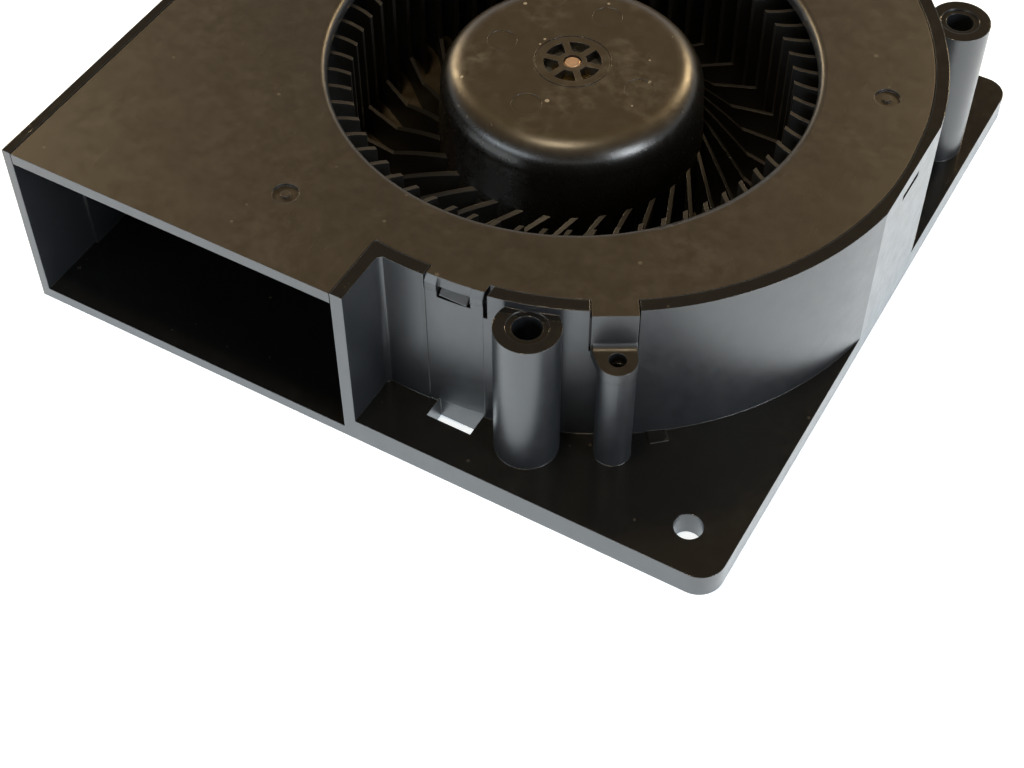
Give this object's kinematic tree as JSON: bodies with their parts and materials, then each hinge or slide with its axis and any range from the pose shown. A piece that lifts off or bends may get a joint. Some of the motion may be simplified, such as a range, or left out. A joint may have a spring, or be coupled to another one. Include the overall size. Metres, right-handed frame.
{
  "type": "dc blower fan",
  "caption": "Flat radial blower with a square flanged scroll housing, a clipped cover with a round inlet, and a bladed impeller on an outer-rotor motor.",
  "frame": {"origin": "middle of the square footprint, on the mounting face", "axes": "+Z out of the inlet along the rotor axis, -Y out of the outlet, +X towards the side with the screw posts"},
  "size_m": [0.12, 0.12, 0.032],
  "materials": {
    "housing_plastic": "satin",
    "cover_plastic": "satin",
    "impeller_plastic": "satin",
    "bearing_steel": "satin",
    "shaft_steel": "satin",
    "yoke_steel": "satin",
    "core_steel": "satin",
    "magnet_ferrite": "matte",
    "brass": "satin",
    "copper_wire": "satin",
    "insulator_plastic": "satin",
    "board_laminate": "gloss",
    "chip_epoxy": "matte",
    "chip_ceramic": "satin",
    "contact_metal": "satin"
  },
  "bodies": {
    "housing": {"base_housing": "housing_plastic", "top_cover": "cover_plastic", "bearing_tube": "brass", "bearing_cap": "housing_plastic", "upper_bearing_outer": "bearing_steel", "lower_bearing_outer": "bearing_steel", "stator_core": "core_steel", "upper_insulator": "insulator_plastic", "lower_insulator": "insulator_plastic", "stator_coils": "copper_wire", "terminal_pins": "contact_metal", "circuit_board": "board_laminate", "hall_sensor": "chip_epoxy", "driver_chip": "chip_epoxy", "board_capacitors": "chip_ceramic", "board_resistors": "chip_epoxy"},
    "rotor": {"impeller_hub": "impeller_plastic", "impeller_vanes": "impeller_plastic", "impeller_blades": "impeller_plastic", "impeller_ring": "impeller_plastic", "rotor_yoke": "yoke_steel", "ring_magnet": "magnet_ferrite", "rotor_shaft": "shaft_steel", "shaft_bush": "brass", "upper_bearing_inner": "bearing_steel", "lower_bearing_inner": "bearing_steel", "preload_spring": "bearing_steel", "retaining_clip": "bearing_steel"},
    "upper_balls": {"upper_bearing_balls": "bearing_steel"},
    "lower_balls": {"lower_bearing_balls": "bearing_steel"}
  },
  "joints": [
    {"name": "impeller_spin", "type": "hinge", "parent": "housing", "child": "rotor", "pos_m": [0.0038, 0.001, 0], "axis": [0, 0, 1], "continuous": true},
    {"name": "upper_cage_spin", "type": "hinge", "parent": "housing", "child": "upper_balls", "pos_m": [0.0038, 0.001, 0.0221], "axis": [0, 0, 1], "continuous": true},
    {"name": "lower_cage_spin", "type": "hinge", "parent": "housing", "child": "lower_balls", "pos_m": [0.0038, 0.001, 0.0054], "axis": [0, 0, 1], "continuous": true}
  ],
  "couplings": [
    {"joint": "upper_cage_spin", "follows": "impeller_spin", "ratio": 0.356},
    {"joint": "lower_cage_spin", "follows": "impeller_spin", "ratio": 0.356}
  ]
}
